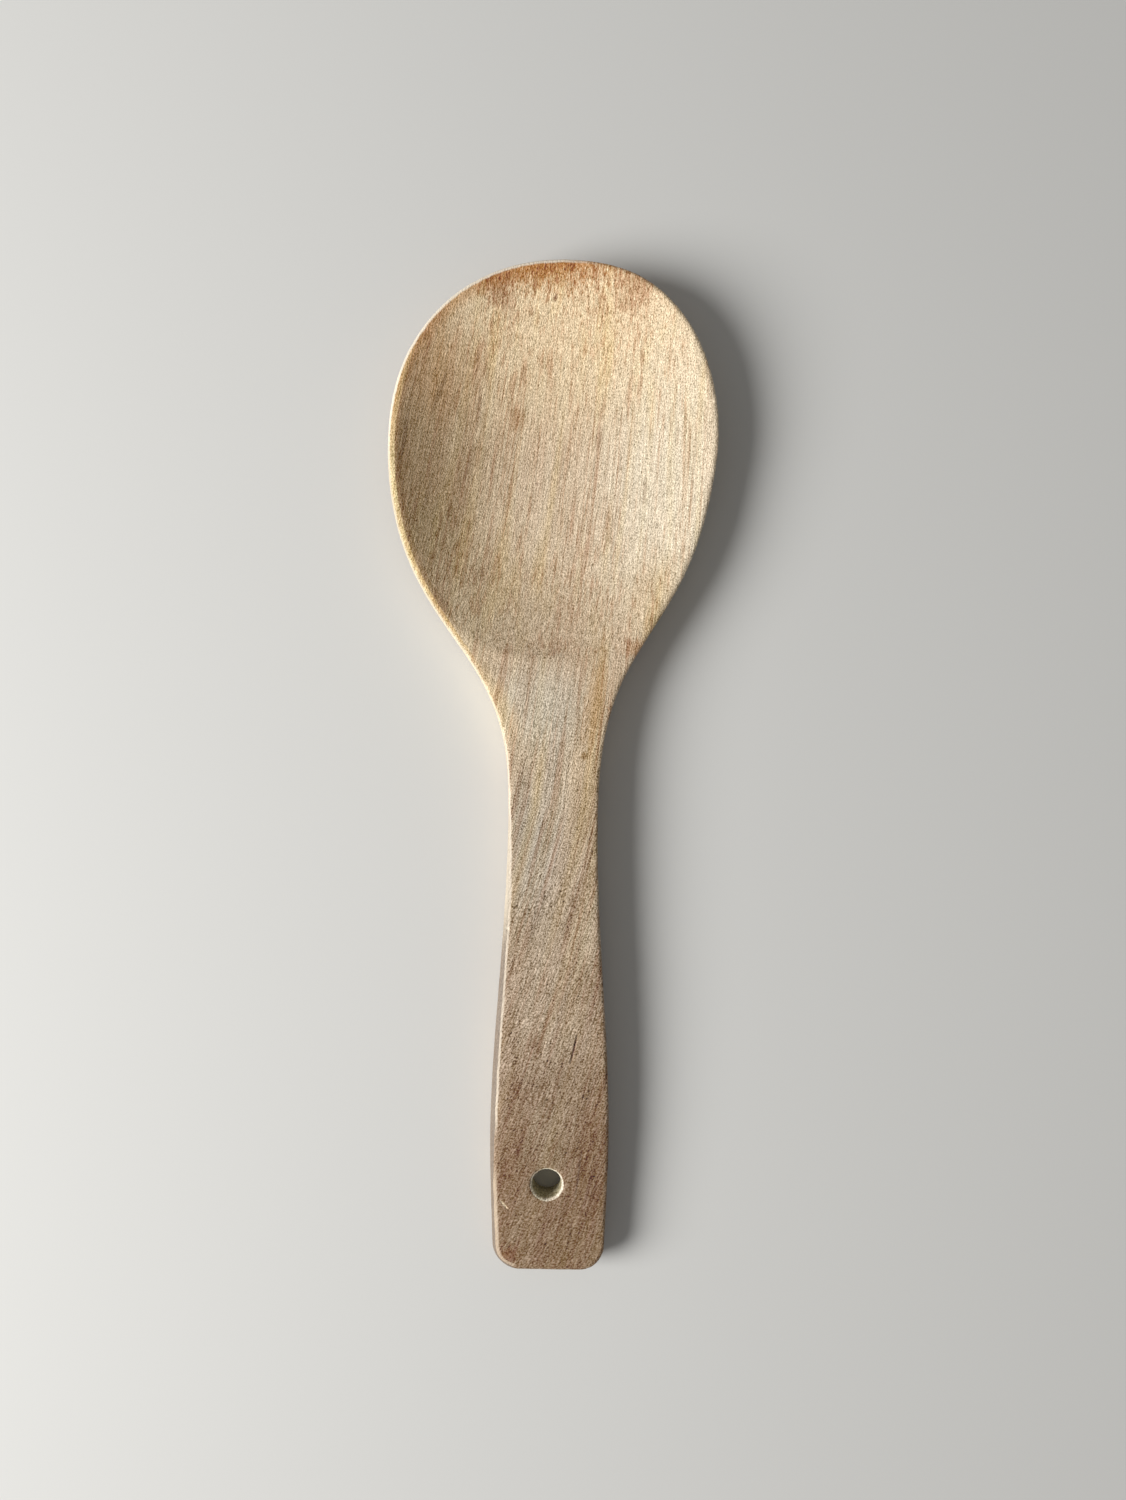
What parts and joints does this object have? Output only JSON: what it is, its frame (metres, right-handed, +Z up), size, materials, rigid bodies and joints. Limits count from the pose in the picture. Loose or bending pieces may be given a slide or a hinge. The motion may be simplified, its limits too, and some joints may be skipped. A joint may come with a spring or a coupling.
{
  "type": "rice paddle",
  "caption": "Wooden rice paddle with a shallow dished bowl, a waisted neck and a flat tapering handle with a hanging hole.",
  "frame": {"origin": "on the surface that the paddle lies on, in the middle of its length and of its width", "axes": "+Y along the paddle towards the tip of the bowl, +X across it, +Z up, out of the dish"},
  "size_m": [0.0751, 0.23, 0.0124],
  "materials": {
    "wood": "matte"
  },
  "bodies": {
    "root": {"paddle": "wood"}
  },
  "joints": []
}
